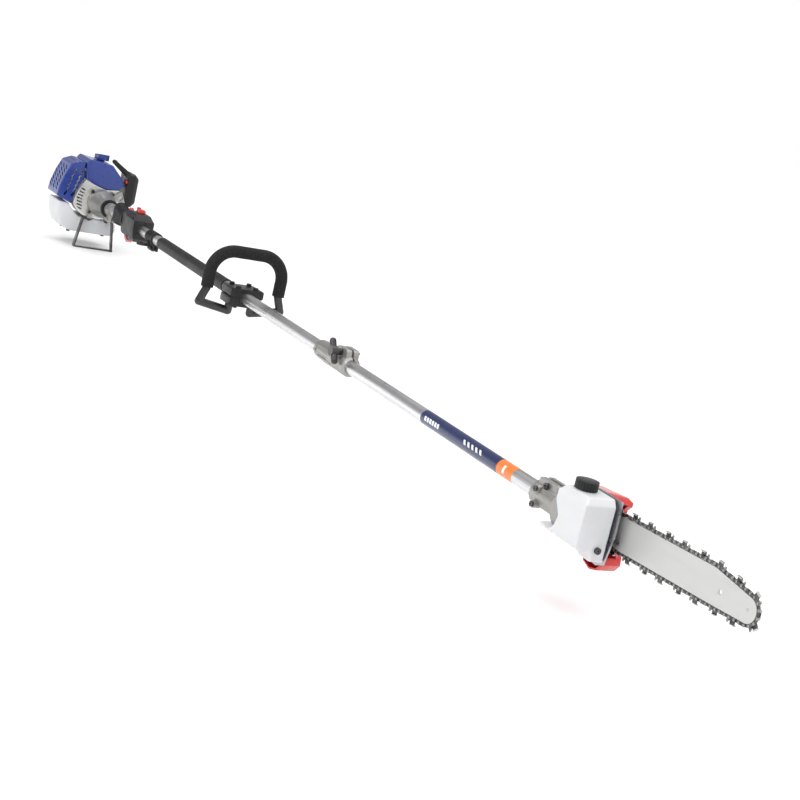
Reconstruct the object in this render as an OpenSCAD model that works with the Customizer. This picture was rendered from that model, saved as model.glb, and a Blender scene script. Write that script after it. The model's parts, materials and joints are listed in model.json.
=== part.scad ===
// Petrol pole saw: two-stroke engine, split aluminium shaft with a loop handle, and a chain saw head.
// Millimetres. +X runs along the shaft towards the saw, +Z is up, +Y is the air cleaner side.
// The origin is the middle of the stand's foot, so the machine stands on z = 0.

/* [Shaft] */
// Outside diameter of both shaft tubes
tube_d = 26; // [25:0.5:28]
// Wall thickness of both shaft tubes
tube_wall = 1.6; // [1.2:0.1:2]
// Diameter of the steel drive shaft inside the tubes
drive_d = 8; // [7:0.5:9]
// Distance from the clutch housing face to the gear case clamp's end
shaft_len = 2386; // [2380:1:2390]
// Start of the coupler that joins the two tubes
coupler_x = 1518; // [1500:1:1520]
// Length of the coupler
coupler_len = 140; // [135:1:145]

/* [Handles] */
// Start of the rubber grip
grip_x = 528; // [520:1:535]
// End of the rubber grip
grip_end = 989; // [950:1:990]
// Outside diameter of the rubber grip
grip_d = 31; // [30:0.5:33]
// Middle of the loop handle's clamp
loop_x = 1082; // [1060:1:1090]
// Half width of the loop handle, to the middle of its rod
loop_half_w = 84; // [78:1:88]
// Height of the loop handle's top bar above the shaft
loop_top = 94; // [88:1:98]
// Diameter of the loop handle's rod
rod_d = 18; // [16:0.5:19]
// Diameter of the foam on the loop handle
foam_d = 27; // [25:0.5:28]

/* [Engine] */
// Height of the shaft's axis above the stand's foot
shaft_h = 130; // [128:1:135]
// Half width of the stand at its foot
stand_half_w = 56; // [54:1:60]
// Width of the stand's strip
strip_w = 20; // [18:1:22]
// Thickness of the stand's strip
strip_t = 3; // [2:0.5:3]
// Bore of the engine's cylinder
bore_d = 40; // [38:0.5:40]
// Radius of the flywheel's fan
flywheel_r = 38; // [34:0.5:38]

/* [Saw head] */
// Distance from the clutch housing face to the sprocket's axis
sprocket_x = 2420; // [2418:1:2422]
// Distance of the guide bar's middle plane from the shaft's axis
bar_y = 25; // [25:0.5:26]
// Angle by which the guide bar points up from the shaft
bar_tilt = 2.5; // [0:0.5:3]
// Thickness of the guide bar
bar_t = 4; // [3.5:0.5:4.5]
// Half height of the guide bar's straight part
bar_half_h = 24; // [24:0.5:25]
// Number of drive links in the chain
links = 45; // [45:1:45]
// Chain pitch: the length of one drive link and one tie strap
pitch = 19.05; // [19.05:0.01:19.05]

/* [Hidden] */
$fn = 48;
eps = 0.02;         // gap of a tight fit between two pieces
run = 0.05;         // radial gap of a running fit
gap = 0.4;          // gap between pieces that don't fit into each other
wall = 2.5;         // moulded wall
tube_r = tube_d / 2;
tube_in = tube_r - tube_wall;
drive_r = drive_d / 2;
stand_x = -24;      // middle of the stand's strip, behind the clutch housing face
joint_x = 1572;     // where the two tubes meet inside the coupler
tube_start = 34;    // the upper tube's end in the clutch housing
cyl_x = -97;        // the cylinder's axis
crank_pin_z = 14;   // the crank's throw, at top dead centre
rod_len = 50;       // connecting rod, pin to pin
trigger_pivot = [243, -21];
lock_pivot = [274, 27];
coupler_bolt = [1628, 22];
clamp_bolt_x = [-28, 28];
pinion_teeth = 14;
gear_teeth = 18;
plate_y = 10;       // near face of the head's mounting plate
plate_t = 3;
sprocket_r = pitch / 2 / sin(90 / 6) / 2;

// ---------- shared shapes ----------

// Moves a piece from the shaft's own frame, where x = 0 is the clutch housing face, to the stand's frame
module on_shaft() {
    translate([-stand_x, 0, shaft_h]) children();
}

// Cylinder along X, through the shaft's axis
module bar_x(r, x0, x1) {
    translate([x0, 0, 0]) rotate([0, 90, 0]) cylinder(r = r, h = x1 - x0);
}

// Cylinder along Y at (x, z)
module bar_along_y(r, x, z, y0, y1) {
    translate([x, y0, z]) rotate([-90, 0, 0]) cylinder(r = r, h = y1 - y0);
}

// Ring along X
module ring_x(r_out, r_in, x0, x1) {
    difference() {
        bar_x(r_out, x0, x1);
        bar_x(r_in, x0 - 1, x1 + 1);
    }
}

// Solid box between two corners
module block(low, high) {
    translate(low) cube(high - low);
}

// Extrudes a (y, z) outline from x0 to x1
module across_x(x0, x1) {
    translate([x0, 0, 0]) rotate([90, 0, 90]) linear_extrude(x1 - x0) children();
}

// Extrudes an (x, z) outline from y0 to y1
module across_y(y0, y1) {
    translate([0, y1, 0]) rotate([90, 0, 0]) linear_extrude(y1 - y0) children();
}

// Rectangle with round corners, between two corners
module round_rect(low, high, r) {
    translate([low[0], low[1] + r]) square([high[0] - low[0], high[1] - low[1] - 2 * r]);
    translate([low[0] + r, low[1]]) square([high[0] - low[0] - 2 * r, high[1] - low[1]]);
    for (x = [low[0] + r, high[0] - r], y = [low[1] + r, high[1] - r]) translate([x, y]) circle(r);
}

// Convex outline with its corners rounded to r
module soft_outline(points, r) {
    offset(r = r, $fn = 32) offset(delta = -r) polygon(points);
}

// Cap screw along X: shank from x0 and a head that ends at x1
module screw_x(r, head_r, head_h, x0, x1, y, z) {
    translate([0, y, z]) {
        bar_x(r, x0, x1 - head_h);
        difference() {
            bar_x(head_r, x1 - head_h, x1);
            translate([x1 - head_h / 2, 0, 0]) rotate([0, 90, 0]) cylinder(r = r * 0.7, h = head_h, $fn = 6);
        }
    }
}

// Cap screw along -Y: the head is at the low y end
module screw_y(r, head_r, head_h, x, z, y_head, y_end) {
    bar_along_y(r, x, z, y_head + head_h, y_end);
    difference() {
        bar_along_y(head_r, x, z, y_head, y_head + head_h);
        translate([x, y_head - 1, z]) rotate([-90, 0, 0]) cylinder(r = r * 0.7, h = head_h / 2 + 1, $fn = 6);
    }
}

// ---------- engine ----------

fan_outline = [[-74, 1], [-74, -15], [-62, -30], [-44, -41], [0, -47], [36, -41], [57, -14], [60, 18],
    [54, 38], [43, 41], [10, 37], [-22, 46], [-50, 57], [-63, 32]];
housing_bolts = [[-29, -29], [-29, 29], [29, -29], [29, 29]];
case_posts = [[-34, -28], [34, -28], [-41, 20], [45, 18]];
flange_x = -66;             // front of the crankcase's flange
stand_bolts = [-25, 25];

module fan_case() {
    color("silver") difference() {
        union() {
            difference() {
                across_x(-62, -30) polygon(fan_outline);
                across_x(-63, -33) offset(delta = -wall) polygon(fan_outline);
                // duct that leads the air up to the cylinder
                block([-63, -44, 28], [-33, 42, 60]);
            }
            // posts bolted to the crankcase's flange
            for (p = case_posts) translate([0, p[0], p[1]]) bar_x(4.5, flange_x, -32);
        }
        bar_x(33, -34, -29);
        for (b = housing_bolts) translate([0, b[0], b[1]]) bar_x(2.5 + eps, -34, -29);
        // cooling slots beside the muffler guard
        for (i = [0:6]) translate([0, -58 + abs(i - 3) * 1.2, -24 + i * 9]) rotate([-14, 0, 0])
            block([-34, -9, -2], [-29, 7, 2]);
    }
}

module clutch_housing() {
    color("silver") difference() {
        union() {
            bar_x(37, -30, -2);
            translate([-2, 0, 0]) rotate([0, 90, 0]) cylinder(r1 = 37, r2 = 35, h = 4);
            translate([2, 0, 0]) rotate([0, 90, 0]) cylinder(r1 = 35, r2 = 23, h = 30);
            bar_x(23, 32, 54);
            for (b = housing_bolts) translate([0, b[0], b[1]]) bar_x(6.5, -30, -20);
            // lug with a hole for the cable guide
            difference() {
                across_x(-28, -22) polygon([[30, 12], [42, 10], [68, 10], [54, 42], [30, 24]]);
                across_x(-29, -21) translate([54, 21]) circle(6);
            }
            // web from the lug to the housing
            block([-28, 24, 6], [-14, 40, 12]);
            // feet that the stand is bolted to
            for (y = stand_bolts) block([-30, y - 6, -46.9], [-18, y + 6, -25]);
        }
        bar_x(31, -31, -2);
        bar_x(14 + eps, -3, 10);
        bar_x(7, 9, 30);
        bar_x(tube_r + eps, 30, 55);
        for (b = housing_bolts) translate([0, b[0], b[1]]) {
            bar_x(2.5 + eps, -31, -19);
            // spot face for the bolt's head
            bar_x(4.9, -20, -10);
        }
        for (y = stand_bolts) translate([stand_x, y, -48]) cylinder(r = 2.5 + eps, h = 13);
    }
}

// One crankcase half, open at its flat face; the cylinder sits on both
module crankcase_half(x0, x1, end_x, bearing_x) {
    difference() {
        union() {
            bar_x(36, x0, x1);
            block([x0, -26, 26], [x1, 26, 43.6]);
        }
        bar_x(28, max(x0, -118) + (x0 < -118 ? 0 : -1), min(x1, -76) + (x1 > -76 ? 0 : 1));
        bar_x(17.5 + eps, bearing_x - eps, bearing_x + 11 + eps);
        bar_x(9, end_x, end_x + 12);
        translate([cyl_x, 0, 20]) cylinder(r = bore_d / 2 + 1, h = 40);
    }
}

module crankcase() {
    color("gray") {
        union() {
            crankcase_half(-97 + eps, -64, -66, -76.5);
            // flange for the fan case's posts
            difference() {
                across_x(flange_x - 4, flange_x) polygon([[-45.6, 28], [-45.6, 14], [-40, -34], [40, -34],
                    [52, 12], [52, 26], [26, 30], [-26, 30]]);
                bar_x(30, flange_x - 5, flange_x + 1);
            }
            // pad that the fuel tank hangs from
            block([-94, -22, -49], [-76, 22, -30]);
        }
        crankcase_half(-130, -97 - eps, -140, -129);
    }
}

// Ball bearing along X: two races with eight balls between them
module ball_bearing(r_out, r_in, x0, x1) {
    ball_r = (r_out - r_in) * 0.15;
    middle = (r_out + r_in) / 2;
    ring_x(r_out, middle + ball_r, x0, x1);
    ring_x(middle - ball_r, r_in, x0, x1);
    for (a = [0:45:315]) rotate([a, 0, 0]) translate([(x0 + x1) / 2, 0, middle])
        sphere(r = ball_r - eps, $fn = 24);
}

module main_bearings() {
    color("lightgray") {
        for (x = [-76.5, -129]) ball_bearing(17.5, 7.5 + eps, x, x + 11);
        // bearing of the clutch drum
        ball_bearing(14, 6 + run, -3, 9.5);
    }
}

module crankshaft() {
    color("darkgray") {
        bar_x(7.5, -140, -103);
        bar_x(7.5, -91, -14);
        for (x = [-113, -91]) difference() {
            bar_x(24, x, x + 10);
            across_x(x - 1, x + 11) translate([-30, 12]) square([14, 30]);
            across_x(x - 1, x + 11) translate([16, 12]) square([14, 30]);
        }
        translate([0, 0, crank_pin_z]) bar_x(6, -104, -90);
    }
}

module connecting_rod() {
    color("silver") difference() {
        union() {
            translate([0, 0, crank_pin_z]) bar_x(10, -101, -93);
            translate([0, 0, crank_pin_z + rod_len]) bar_x(7.5, -101, -93);
            block([-100, -5, crank_pin_z + 6], [-94, 5, crank_pin_z + rod_len - 4]);
        }
        translate([0, 0, crank_pin_z]) bar_x(6 + run, -102, -92);
        translate([0, 0, crank_pin_z + rod_len]) bar_x(4 + run, -102, -92);
    }
}

module piston() {
    color("silver") {
        difference() {
            translate([cyl_x, 0, 52]) cylinder(r = bore_d / 2 - run, h = 26);
            translate([cyl_x, 0, 51]) cylinder(r = bore_d / 2 - 3, h = 22);
            for (z = [71, 75]) translate([cyl_x, 0, z]) difference() {
                cylinder(r = bore_d / 2 + 1, h = 1.5);
                translate([0, 0, -1]) cylinder(r = bore_d / 2 - 1.2, h = 4);
            }
        }
        // piston pin
        translate([0, 0, crank_pin_z + rod_len]) bar_x(4, cyl_x - 18, cyl_x + 18);
    }
}

module cylinder_fins() {
    for (i = [0:4]) translate([cyl_x, 0, 47 + i * 9]) linear_extrude(2.4)
        round_rect([-32, -29], [32, 29], 8);
}

module engine_cylinder() {
    color("gray") difference() {
        union() {
            translate([cyl_x, 0, 44]) linear_extrude(5) round_rect([-31, -26], [31, 26], 6);
            translate([cyl_x, 0, 44]) cylinder(r = bore_d / 2 + 4, h = 46);
            cylinder_fins();
            // exhaust and intake ports
            block([-113, -38, 54], [-81, 0, 72]);
            block([-113, 0, 50], [-81, 36, 68]);
        }
        translate([cyl_x, 0, 40]) cylinder(r = bore_d / 2, h = 42);
        translate([cyl_x, 0, 80]) cylinder(r = 5, h = 12);
        bar_along_y(7, cyl_x, 63, -40, -10);
        bar_along_y(7, cyl_x, 59, 10, 40);
    }
}

module muffler() {
    color("lightgray") {
        difference() {
            across_x(-132, -63) polygon([[-46, 22], [-88, 16], [-100, 26], [-92, 72], [-82, 80], [-46, 80]]);
            across_x(-130, -65) polygon([[-48, 24], [-87, 18], [-98, 27], [-90, 71], [-81, 78], [-48, 78]]);
            bar_along_y(7, cyl_x, 63, -60, -40);
        }
        ring_along_y(10, 7, cyl_x, 63, -46, -38.1);
        // outlet with a spark arrester
        ring_along_y(7, 5, -76, 40, -107, -96);
    }
}

// Ring along Y at (x, z)
module ring_along_y(r_out, r_in, x, z, y0, y1) {
    difference() {
        bar_along_y(r_out, x, z, y0, y1);
        bar_along_y(r_in, x, z, y0 - 1, y1 + 1);
    }
}

guard_outline = [[-121, 0], [-119, 24], [-109, 60], [-95, 93], [-70, 104], [-57, 103], [-53, 59], [-66, 33],
    [-77, 1], [-77, -17]];

module muffler_guard() {
    color("royalblue") difference() {
        across_x(-142, -36) polygon(guard_outline);
        across_x(-139.5, -38.5) offset(delta = -wall) polygon(guard_outline);
        // the inner side is open towards the cylinder
        block([-139.5, -80, 14], [-38.5, -40, 100]);
        // three columns of slanted slots on the side
        for (row = [0:6], col = [0:2])
            translate([-122 + col * 30, -100 - 1.5 * row, 18 + row * 10]) rotate([0, 20, 0])
                cube([20, 60, 4], center = true);
        // slots on the front
        for (row = [0:5], col = [0:1])
            translate([-37, -98 + col * 20 + row * 3, 14 + row * 12]) rotate([35, 0, 0])
                cube([8, 4, 11], center = true);
    }
}

shroud_outline = [[-56, 104], [-48, 114], [-26, 111], [17, 108], [44, 81], [58, 62], [55, 50], [43, 41.5],
    [10, 37.5], [-22, 46.5], [-50, 58]];

module cylinder_shroud() {
    color("royalblue") difference() {
        across_x(-142, -26) polygon(shroud_outline);
        across_x(-143, -29) offset(delta = -wall) polygon(shroud_outline);
        // open underneath, and towards the muffler
        block([-143, -60, 30], [-33, 52, 60]);
        block([-139.5, -60, 59], [-38.5, -44, 100]);
        // opening for the spark plug
        translate([cyl_x, 0, 98]) cylinder(r = 12, h = 20);
        // carburettor side, with room for the primer bulb
        block([-118, 30, 30], [-64, 62, 74]);
    }
}

module spark_plug() {
    color("white") translate([cyl_x, 0, 0]) {
        translate([0, 0, 83]) cylinder(r = 5 - eps, h = 7.2);
        translate([0, 0, 90.1]) cylinder(r = 9, h = 7, $fn = 6);
        translate([0, 0, 97]) cylinder(r = 5, h = 12);
        translate([0, 0, 108]) cylinder(r = 3, h = 6);
    }
}

module plug_cap() {
    color("royalblue") difference() {
        union() {
            translate([cyl_x, 0, 100]) cylinder(r = 11, h = 12);
            for (i = [0:4]) block([-114 + 8 * i, -14, 111.4], [-109 + 8 * i, 18, 124 + i]);
            block([-114, -12, 111.4], [-77, 16, 121]);
        }
        translate([cyl_x, 0, 97.1]) cylinder(r = 5.1, h = 17);
    }
}

module ignition_coil() {
    color("dimgray") {
        block([-58, -6, 46], [-42, 10, 58]);
        block([-56, 10, 39], [-44, 18, 54]);
        block([-56, -14, 39], [-44, -6, 54]);
        // foot against the cylinder's flange
        block([-65, -6, 46], [-58, 10, 49]);
    }
}

module flywheel() {
    color("gainsboro") difference() {
        union() {
            bar_x(34, -60, -52);
            bar_x(14, -62, -40);
            for (a = [0:20:340]) rotate([a, 0, 0]) translate([-60, 26, -1.5]) cube([17, flywheel_r - 26, 3]);
            ring_x(flywheel_r, flywheel_r - 2, -60, -56);
            bar_x(flywheel_r - 1, -60, -58);
        }
        bar_x(7.5 + run, -63, -39);
    }
}

module clutch_shoes() {
    color("sienna") {
        // carrier plate and hub on the crankshaft
        difference() {
            union() {
                bar_x(11, -39.9, -12);
                bar_x(24, -39, -36);
            }
            bar_x(7.5 + run, -41, -11);
        }
        for (a = [0:120:240]) rotate([a, 0, 0]) {
            clutch_shoe();
            // pivot pin of the shoe
            translate([0, 0, 19]) bar_x(3, -36.5, -15);
        }
    }
}

// One shoe: a slice of a thick ring, with a hole for its pivot pin
module clutch_shoe() {
    difference() {
        across_x(-34, -16) intersection() {
            difference() {
                circle(25);
                circle(14);
            }
            polygon([[0, 0], [34, 30], [0, 45], [-34, 30]]);
        }
        translate([0, 0, 19]) bar_x(3 + run, -40, -10);
    }
}

module clutch_drum() {
    color("darkgray") {
        difference() {
            bar_x(29, -34.5, -4);
            bar_x(26.5, -35, -7);
        }
        difference() {
            bar_x(6, -5, 29);
            bar_x(drive_r + eps, 8, 30);
        }
    }
}

recoil_r = 47;      // recoil starter's cover
rope_x = -153;      // the starter rope's plane
rope_r = 36;        // radius the rope is wound at

module recoil_cover() {
    color("dimgray") {
        difference() {
            union() {
                bar_x(recoil_r, -168, -131);
                // rope guide at the top
                block([-160, -10, 40], [-146, 10, 66]);
            }
            bar_x(recoil_r - 3, -165, -130);
            translate([rope_x, 0, 39]) cylinder(r = 3, h = 28);
            for (a = [20:20:340]) rotate([a, 0, 0]) block([-169, -2.5, 18], [-164, 2.5, 34]);
        }
        // post of the starter pulley
        bar_x(6, -166, -147.9);
        // lugs bolted to the back of the crankcase
        for (a = [50, 130, 230, 310]) rotate([a, 0, 0]) block([-138, -5, 30], [-130, 5, recoil_r - 1]);
    }
}

module starter_pulley() {
    color("black") difference() {
        union() {
            ring_x(41, 6 + run, -158, -156);
            ring_x(rope_r, 6 + run, -156.1, -149.9);
            ring_x(41, 6 + run, -150, -148);
        }
        for (a = [0:90:270]) rotate([a, 0, 0]) translate([0, 22, 0]) bar_x(6, -161, -147);
    }
}

module starter_handle() {
    color("black") {
        translate([rope_x, 0, 66.4]) cylinder(r = 7, h = 8);
        bar_along_y(8, rope_x, 80, -24, 24);
        for (y = [-24, 24]) translate([rope_x, y, 80]) sphere(8);
        // rope end that stays in the guide
        translate([rope_x, 0, 52]) cylinder(r = 2, h = 16);
    }
}

module carburettor() {
    // heat insulator between the cylinder and the carburettor
    color("dimgray") difference() {
        block([-114, 36.1, 46], [-80, 46, 72]);
        bar_along_y(7, cyl_x, 59, 30, 50);
    }
    color("silver") difference() {
        union() {
            block([-112, 46.1, 40], [-82, 68, 72]);
            bar_along_y(11, cyl_x, 58, 60, 74.9);
            bar_along_y(9, cyl_x - 1, 33, 50, 64);
            block([-105, 50, 36], [-91, 64, 41]);
            // collar of the primer bulb
            translate([0, 58, 50]) bar_x(8, -83, -75);
        }
        bar_along_y(7, cyl_x, 58, 40, 80);
        translate([0, 58, 50]) bar_x(6 + gap, -82, -74);
    }
}

module air_cleaner_base() {
    color("black") {
        difference() {
            across_y(75, 79) round_rect([-124, -4], [-52, 90], 10);
            bar_along_y(7, cyl_x, 58, 70, 84);
        }
        // bracket over the shroud with its round end
        difference() {
            across_x(-60, -52) polygon([[24, 112], [34, 119], [79, 92], [79, 78], [70, 78]]);
            across_x(-61, -51) polygon([[47, 98], [66, 87], [66, 84], [52, 92]]);
        }
        translate([0, 29, 116]) bar_x(6, -63, -49);
    }
}

module air_filter() {
    color("tan") across_y(79.2, 96) round_rect([-118, 4], [-58, 82], 8);
}

module air_cleaner_cover() {
    color("black") {
        difference() {
            hull() {
                across_y(79.2, 96) round_rect([-124, -4], [-52, 90], 10);
                across_y(100, 108) round_rect([-116, 6], [-60, 80], 8);
            }
            across_y(79, 98) round_rect([-121.5, -1.5], [-54.5, 87.5], 8);
        }
        // knob in the middle of the cover
        difference() {
            bar_along_y(9, -88, 44, 108, 114);
            for (a = [0:45:315]) translate([-88, 107, 44]) rotate([0, a, 0]) translate([10, 0, 0])
                rotate([-90, 0, 0]) cylinder(r = 2.4, h = 8);
        }
    }
}

module choke_lever() {
    color("red") {
        bar_along_y(4, -64, 66, 68, 74.6);
        across_y(68, 72) round_rect([-66, 62], [-46, 70], 3.9);
    }
}

module primer_bulb() {
    color("red") translate([0, 58, 50]) {
        bar_x(6, -78, -72);
        translate([-72, 0, 0]) sphere(6);
    }
}

tank_outline = [[-111, -14], [-82, -16], [-73, -28], [-50, -49], [50, -50], [60, -58], [62, -78], [50, -92],
    [-68, -92], [-95, -82], [-107, -52]];
feet = [[-64, -65], [-64, 34], [-134, -65], [-134, 34]];

module fuel_tank() {
    color("white") difference() {
        union() {
            across_x(-150, -42) soft_outline(tank_outline, 4);
            translate([0, -20, -71]) bar_x(15, -158, -149);
        }
        across_x(-147.5, -44.5) offset(delta = -wall) polygon(tank_outline);
        translate([0, -20, -71]) bar_x(12, -159, -146);
        for (f = feet) translate([f[0], f[1], -92.5]) cylinder(r = 5 + eps, h = 2);
    }
}

module fuel_cap() {
    color("black") translate([0, -20, -71]) {
        difference() {
            bar_x(19, -170, -152.5);
            bar_x(15 + gap, -158.4, -152);
            for (a = [0:20:340]) rotate([a, 0, 0]) translate([0, 19.6, 0]) bar_x(1.4, -171, -152);
        }
    }
}

module tank_feet() {
    color("black") for (f = feet) translate([f[0], f[1], -97]) cylinder(r = 5, h = 6.4);
}

module stand() {
    w = stand_half_w;
    color("black") difference() {
        across_x(stand_x - strip_w / 2, stand_x + strip_w / 2) difference() {
            polygon([[-44, -50], [-w, -130], [w, -130], [44, -50], [44, -50 + strip_t], [-44, -50 + strip_t]]);
            polygon([[-41, -50], [-w + 3.6, -127], [w - 3.6, -127], [41, -50]]);
            translate([-18, -51]) square([36, 6]);
        }
        for (y = stand_bolts) translate([stand_x, y, -55]) cylinder(r = 2.5 + eps, h = 12);
    }
}

module engine_bolts() {
    color("dimgray") {
        for (b = housing_bolts) screw_x(2.5, 4.5, 4, -33, -15.9, b[0], b[1]);
        for (y = stand_bolts) translate([stand_x, y, 0]) {
            translate([0, 0, -50.2]) cylinder(r = 2.5, h = 14);
            translate([0, 0, -53.6]) cylinder(r = 4.5, h = 3.5, $fn = 6);
        }
    }
}

// ---------- shaft ----------

module shaft_clamp() {
    color("silver") difference() {
        union() {
            bar_x(18, 74, 108);
            for (y = [-9, 3]) block([78, y, -32], [104, y + 6, -8]);
        }
        bar_x(tube_r + eps, 73, 109);
        block([73, -3, -40], [109, 3, -8]);
        bar_along_y(2.5 + eps, 91, -25, -10, 10);
    }
    color("dimgray") screw_y(2.5, 4.5, 4, 91, -25, -13, 9.5);
}

boot_x0 = 160;      // the neck boot's ends
boot_x1 = 227.5;

// Two circles of radius r at two heights, joined by straight sides
module oval(r, low, high) {
    translate([0, low]) circle(r);
    translate([0, high]) circle(r);
    translate([-r, low]) square([2 * r, high - low]);
}

module rubber_mounts() {
    color("black") {
        // isolator ring between the clutch housing and the clamp
        ring_x(22, tube_r + eps, 54.5, 62);
        ring_x(25, tube_r + eps, 62, 68);
        // neck boot: a tall oval at the engine end, rounder at the throttle
        difference() {
            union() {
                across_x(boot_x0, boot_x0 + 10) oval(19, -6, 17);
                hull() {
                    across_x(boot_x0 + 9, boot_x0 + 10) oval(18, -6, 16);
                    across_x(boot_x1 - 1, boot_x1) oval(17, -2, 4);
                }
                for (i = [0:4]) let (t = (6 + 9 * i) / (boot_x1 - boot_x0 - 10))
                    across_x(boot_x0 + 16 + 9 * i, boot_x0 + 20 + 9 * i) oval(18.8 - t, -6 + 4 * t, 16 - 12 * t);
            }
            bar_x(tube_r + eps, boot_x0 - 1, boot_x1 + 1);
        }
    }
}

throttle_side = [[228, -18], [228, 18], [262, 28], [290, 38], [350, 38], [367, 22], [367, -24], [354, -34],
    [318, -36], [296, -30], [262, -28], [240, -27]];
throttle_section = [[-14, -38], [14, -38], [24, -22], [27, 0], [27, 22], [18, 38], [-18, 38], [-27, 22],
    [-27, 0], [-24, -22]];
throttle_plan = [[228, -14], [228, 14], [300, 27], [367, 27], [367, -27], [300, -27]];
throttle_screws = [[350, 26], [352, -24], [312, -26]];

// What three outlines have in common: seen from the side, along the shaft and from above
module throttle_solid(inset, corner) {
    intersection() {
        across_y(-28, 28) soft_outline_inset(throttle_side, inset, corner);
        across_x(220, 368) soft_outline_inset(throttle_section, inset, corner);
        translate([0, 0, -45]) linear_extrude(90) offset(delta = -inset) polygon(throttle_plan);
    }
}

// Outline moved inwards, with its corners rounded
module soft_outline_inset(points, inset, corner) {
    offset(r = corner, $fn = 32) offset(delta = -corner - inset) polygon(points);
}

// Throttle housing body before it is split into its halves
module throttle_shape() {
    difference() {
        throttle_solid(0, 6);
        // hollow inside, around the tube, the pockets and the screws
        difference() {
            throttle_solid(wall, 1);
            bar_x(tube_r + wall, 219, 369);
            block([225, -8, -60], [307, 8, -10]);
            block([231, -7, 10], [347, 7, 50]);
            for (p = throttle_screws) bar_along_y(6, p[0], p[1], -30, 30);
            bar_along_y(5, trigger_pivot[0], trigger_pivot[1], -18, 18);
            bar_along_y(5, lock_pivot[0], lock_pivot[1], -15, 15);
        }
        bar_x(tube_r + eps, 219, 369);
        // pocket of the trigger
        block([232, -5.5, -52], [304, 5.5, -14]);
        // pocket of the lock lever
        block([234, -4.5, 15], [284, 4.5, 50]);
        // pocket of the stop switch
        block([300, -5, 26], [344, 5, 50]);
        bar_along_y(2 + run, trigger_pivot[0], trigger_pivot[1], -12, 12);
        bar_along_y(2 + run, lock_pivot[0], lock_pivot[1], -12, 12);
        for (p = throttle_screws) {
            bar_along_y(2 + eps, p[0], p[1], -30, 20);
            bar_along_y(4 + eps, p[0], p[1], -30, -20);
        }
    }
}

module throttle_housing() {
    color("black") {
        intersection() {
            throttle_shape();
            block([219, -30, -60], [369, -0.1, 60]);
        }
        intersection() {
            throttle_shape();
            block([219, 0.1, -60], [369, 30, 60]);
        }
    }
    color("dimgray") for (p = throttle_screws) screw_y(2, 4, 3, p[0], p[1], -23, 18);
}

module trigger() {
    p = trigger_pivot;
    color("red") {
        across_y(-4.9, 4.9) {
            translate(p) circle(6);
            // finger curve: a crescent that hangs under the housing
            difference() {
                translate([268, -16]) circle(34);
                translate([275, -10]) circle(33);
                translate([220, -20]) square([90, 60]);
            }
        }
        // pivot pin
        bar_along_y(2, p[0], p[1], -11.9, 11.9);
    }
}

module lock_lever() {
    p = lock_pivot;
    color("red") {
        across_y(-4, 4) union() {
            polygon([[238, 26], [238, 34], [246, 38], [252, 37], [262, 32], [p[0], 31], [p[0], 23]]);
            translate(p) circle(4.5);
        }
        // pivot pin
        bar_along_y(2, p[0], p[1], -11.9, 11.9);
    }
}

module stop_switch() {
    color("red") {
        // slider in its pocket, with a thumb nub and a wide ribbed cap above the housing
        block([306, -4.6, 28], [336, 4.6, 44]);
        block([302, -4.6, 39], [310, 4.6, 44]);
        block([302, -4.6, 43], [307, 4.6, 50]);
        block([316, -8.5, 39], [338, 8.5, 45]);
        for (i = [0:3]) block([317 + i * 5.5, -8, 44.5], [319.5 + i * 5.5, 8, 47.5]);
    }
}

harness_x = [435, 484];     // ends of the harness clamp
harness_bolts = [461, 477];
harness_bolt_z = -23;
harness_eye = [437, -20];   // the eyelet's middle, seen from above

module harness_clamp() {
    color("black") {
        difference() {
            union() {
                bar_x(17, harness_x[0], harness_x[1]);
                for (y = [-8, 2]) block([451, y, -30], [harness_x[1], y + 6, -8]);
                // eyelet that lies flat beside the clamp, on a web
                translate([0, 0, -25]) linear_extrude(6) round_rect([424, -34], [450, -4], 12.9);
                block([438, -9, -20], [450, -3, -8]);
            }
            bar_x(tube_r + eps, harness_x[0] - 1, harness_x[1] + 1);
            block([harness_x[0] - 1, -2, -40], [harness_x[1] + 1, 2, -6]);
            for (x = harness_bolts) bar_along_y(2.5 + eps, x, harness_bolt_z, -12, 12);
            translate([harness_eye[0], harness_eye[1], -26]) cylinder(r = 6, h = 8);
            for (x = [439:7:474]) ring_x(18, 16, x, x + 3.5);
        }
    }
    color("dimgray") for (x = harness_bolts) screw_y(2.5, 4.5, 4, x, harness_bolt_z, -12.1, 9.5);
}

module upper_tube() {
    color("lightgray") ring_x(tube_r, tube_in, tube_start, joint_x);
}

module shaft_bushes() {
    color("dimgray") for (x = [140:270:1490]) ring_x(tube_in - eps, drive_r + run, x, x + 30);
}

module upper_drive_shaft() {
    color("silver") {
        bar_x(drive_r, 8, joint_x - 24);
        // square socket for the lower drive shaft
        difference() {
            bar_x(9, joint_x - 24.1, joint_x + 16);
            across_x(joint_x - 4, joint_x + 17) square(7.2, center = true);
        }
    }
}

module rubber_grip() {
    r = grip_d / 2;
    color("black") difference() {
        bar_x(r, grip_x, grip_end);
        bar_x(tube_r + eps, grip_x - 1, grip_end + 1);
        for (a = [0:15:345]) rotate([a, 0, 0]) block([grip_x + 10, -0.7, r - 0.7], [grip_end - 10, 0.7, r + 1]);
    }
}

loop_foot_z = -36;
loop_corner = 52;

// Straight rod between two (y, z) points
module rod(a, b, r) {
    d = b - a;
    translate([loop_x, a[0], a[1]]) rotate([atan2(-d[0], d[1]), 0, 0]) cylinder(r = r, h = norm(d));
}

// Ball that rounds the corner between two rods
module knuckle(p, r) {
    translate([loop_x, p[0], p[1]]) sphere(r);
}

// Quarter of a ring about (y, z), from angle a0 over 90 degrees
module bend(centre, big_r, r, a0, sweep = 90) {
    translate([loop_x, centre[0], centre[1]]) rotate([90, 0, 90]) rotate([0, 0, a0])
        rotate_extrude(angle = sweep) translate([big_r, 0]) circle(r);
}

foam_end_z = 10;

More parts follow.
